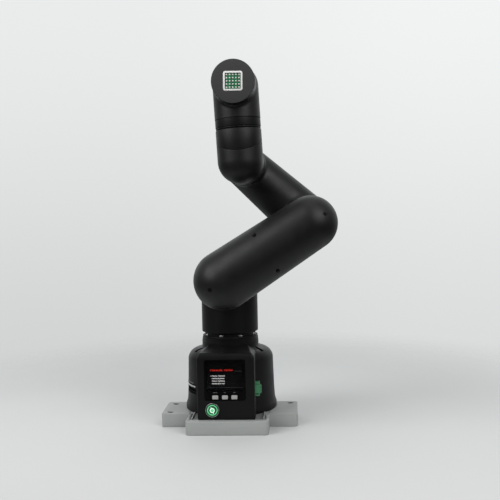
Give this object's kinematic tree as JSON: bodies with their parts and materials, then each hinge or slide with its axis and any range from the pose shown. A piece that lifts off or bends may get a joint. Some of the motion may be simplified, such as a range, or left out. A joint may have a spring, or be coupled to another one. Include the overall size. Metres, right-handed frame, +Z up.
{
  "type": "desktop robot arm",
  "caption": "Black desktop robot arm with offset rounded links, a lit wrist disc and a tool flange, standing on a display base bolted to a flat plate.",
  "frame": {"origin": "on the turning axis of the base, in the plane of the base plate's underside", "axes": "+Z up along the turning axis of the base, -Y towards the front of the base with its display, +X to the right of the display as seen from in front"},
  "size_m": [0.2427, 0.2001, 0.4817],
  "materials": {
    "black_plastic": "satin moulded black",
    "dark_plastic": "matte dark grey",
    "grey_plate": "fine matte grey powder coat",
    "grey_button": "satin pale grey",
    "green_plastic": "moulded green",
    "white_plastic": "moulded white",
    "display_glass": "polished black window",
    "screen_panel": "lit display panel",
    "green_light": "lit translucent green",
    "chrome": "polished",
    "steel": "plain",
    "black_steel": "blackened",
    "aluminium": "turned, satin",
    "circuit_board": "green solder mask"
  },
  "bodies": {
    "base": {"base_plate": "grey_plate", "base_housing": "black_plastic", "display_module": "black_plastic", "display_glass": "display_glass", "display_panel": "screen_panel", "power_button_barrel": "chrome", "power_light_ring": "green_light", "power_button_nut": "steel", "terminal_socket": "green_plastic", "terminal_plug": "green_plastic", "side_port": "black_steel", "rear_port_panel": "aluminium", "network_port": "steel", "usb_port_upper": "steel", "usb_port_lower": "steel", "power_inlet": "black_plastic", "base_motor": "aluminium", "base_bearing": "steel", "control_board": "circuit_board", "power_board": "circuit_board"},
    "menu_button_left": {"menu_button_left": "grey_button"},
    "menu_button_middle": {"menu_button_middle": "grey_button"},
    "menu_button_right": {"menu_button_right": "grey_button"},
    "power_button": {"power_button_cap": "white_plastic"},
    "shoulder": {"shoulder_flange": "black_plastic", "shoulder_flange_screw_1": "steel", "shoulder_flange_screw_2": "steel", "shoulder_flange_screw_3": "steel", "shoulder_flange_screw_4": "steel", "shoulder_flange_screw_5": "steel", "shoulder_flange_screw_6": "steel", "shoulder_flange_screw_7": "steel", "shoulder_flange_screw_8": "steel", "shoulder_housing": "black_plastic", "shoulder_rear_cap": "black_plastic", "shoulder_motor": "aluminium"},
    "upper_arm": {"upper_arm_shell": "black_plastic", "upper_arm_cover": "black_plastic", "upper_arm_cover_screw_1": "black_steel", "upper_arm_cover_screw_2": "black_steel", "upper_arm_cover_screw_3": "black_steel", "upper_arm_cover_screw_4": "black_steel", "upper_arm_flange": "aluminium", "elbow_flange": "aluminium"},
    "forearm": {"forearm_shell": "black_plastic", "forearm_cover": "black_plastic", "elbow_motor": "aluminium", "wrist_lift_motor": "aluminium"},
    "wrist": {"wrist_elbow": "black_plastic", "wrist_tube": "black_plastic", "wrist_flange": "aluminium", "wrist_turn_motor": "aluminium"},
    "tool_joint": {"wrist_collar": "black_plastic", "tool_housing": "black_plastic", "tool_motor": "aluminium", "disc_cap": "dark_plastic", "matrix_frame": "white_plastic", "matrix_board": "circuit_board"},
    "tool": {"tool_flange": "aluminium"}
  },
  "joints": [
    {"name": "shoulder_turn", "type": "hinge", "parent": "base", "child": "shoulder", "pos_m": [0, 0, 0.12], "axis": [0, 0, 1], "range_deg": [-168, 168]},
    {"name": "shoulder_lift", "type": "hinge", "parent": "shoulder", "child": "upper_arm", "pos_m": [0, 0, 0.2037], "axis": [0, 1, 0], "range_deg": [-140, 75]},
    {"name": "elbow", "type": "hinge", "parent": "upper_arm", "child": "forearm", "pos_m": [0.11386, 0, 0.27624], "axis": [0, -1, 0], "range_deg": [-205, 40]},
    {"name": "wrist_lift", "type": "hinge", "parent": "forearm", "child": "wrist", "pos_m": [0.02553, 0, 0.35746], "axis": [0, 1, 0], "range_deg": [-142, 95]},
    {"name": "wrist_turn", "type": "hinge", "parent": "wrist", "child": "tool_joint", "pos_m": [0.02553, -0.0888, 0.35746], "axis": [-0.0471, 0, 0.9989], "range_deg": [-168, 168]},
    {"name": "tool_turn", "type": "hinge", "parent": "tool_joint", "child": "tool", "pos_m": [0.02105, -0.0888, 0.45236], "axis": [0, 1, 0], "range_deg": [-175, 175]},
    {"name": "menu_button_left_press", "type": "slide", "parent": "base", "child": "menu_button_left", "axis": [0, 1, 0], "range_m": [0, 0.0008], "stiffness_N_per_m": 300, "springref_m": -0.0005},
    {"name": "menu_button_middle_press", "type": "slide", "parent": "base", "child": "menu_button_middle", "axis": [0, 1, 0], "range_m": [0, 0.0008], "stiffness_N_per_m": 300, "springref_m": -0.0005},
    {"name": "menu_button_right_press", "type": "slide", "parent": "base", "child": "menu_button_right", "axis": [0, 1, 0], "range_m": [0, 0.0008], "stiffness_N_per_m": 300, "springref_m": -0.0005},
    {"name": "power_button_press", "type": "slide", "parent": "base", "child": "power_button", "axis": [0, 1, 0], "range_m": [0, 0.0012], "stiffness_N_per_m": 300, "springref_m": -0.0005}
  ]
}
